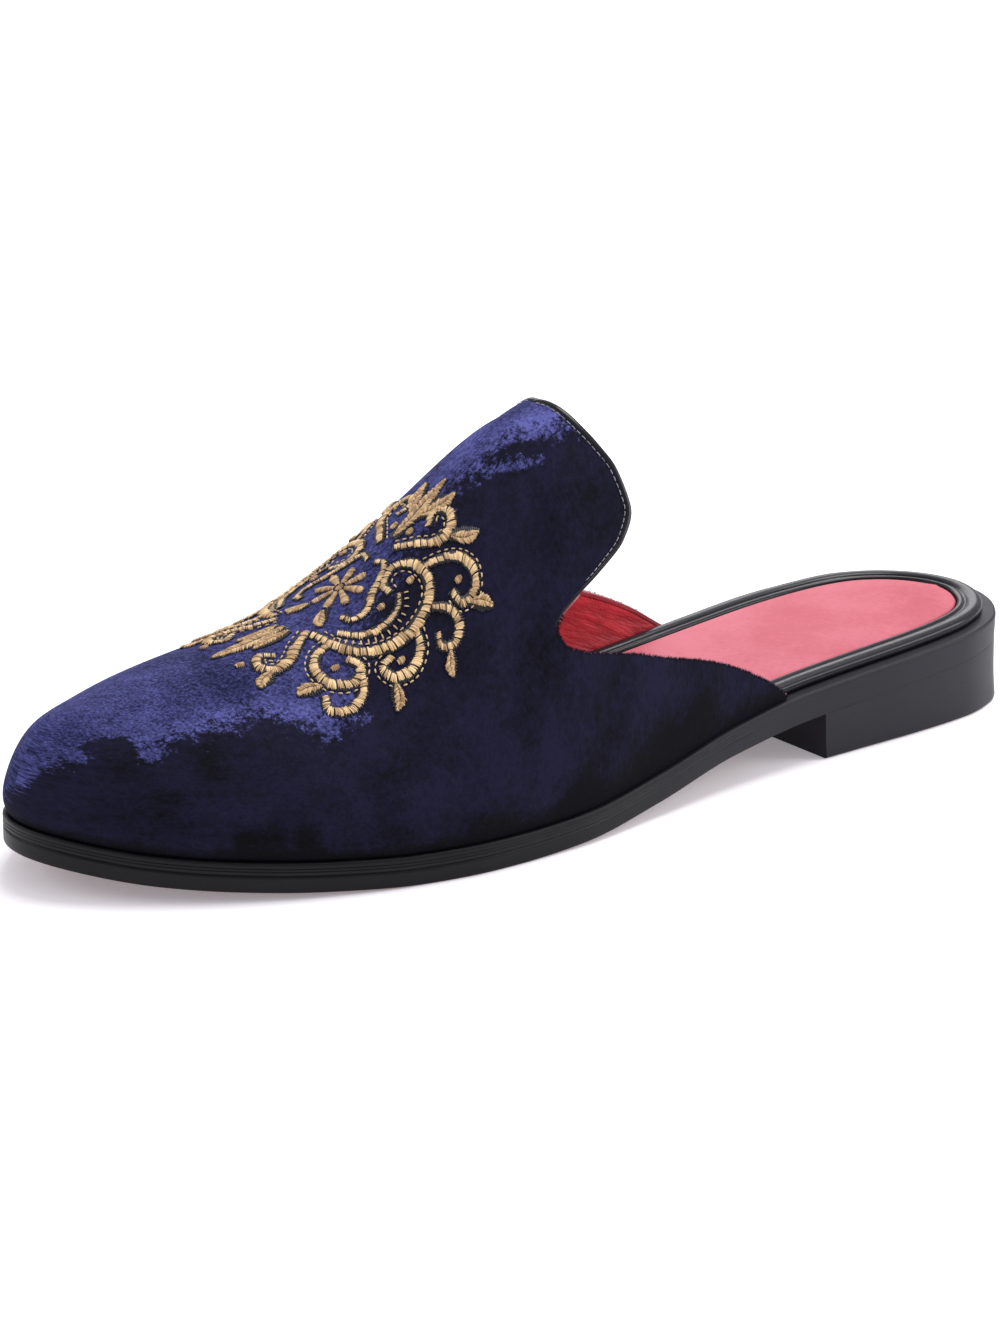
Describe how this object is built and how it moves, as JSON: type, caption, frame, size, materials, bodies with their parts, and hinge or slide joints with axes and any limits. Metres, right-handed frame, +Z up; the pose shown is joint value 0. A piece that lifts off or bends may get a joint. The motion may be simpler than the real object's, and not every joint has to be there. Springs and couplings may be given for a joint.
{
  "type": "velvet slipper loafer",
  "caption": "Backless dark blue velvet slipper loafer for the left foot, with a high tongue, gold scroll embroidery and a low black heel.",
  "frame": {"origin": "on the floor, under the middle of the shoe's box", "axes": "+Z up, -Y towards the toe, +X towards the outer side of the left foot"},
  "size_m": [0.1037, 0.3, 0.0958],
  "materials": {
    "velvet": "crushed pile, dark navy with violet-blue sheen",
    "gold_thread": "raised satin stitch",
    "lining_leather": "soft, finely wrinkled, deep red",
    "sock_leather": "smooth, satin, rose red",
    "black_leather": "smooth, satin to glossy",
    "sole_edge": "burnished and waxed, satin",
    "heel_stack": "smooth, satin"
  },
  "bodies": {
    "root": {"outsole": "sole_edge", "welt": "sole_edge", "heel": "heel_stack", "insole": "black_leather", "sock_lining": "sock_leather", "upper": "velvet", "topline_binding": "black_leather"}
  },
  "joints": []
}
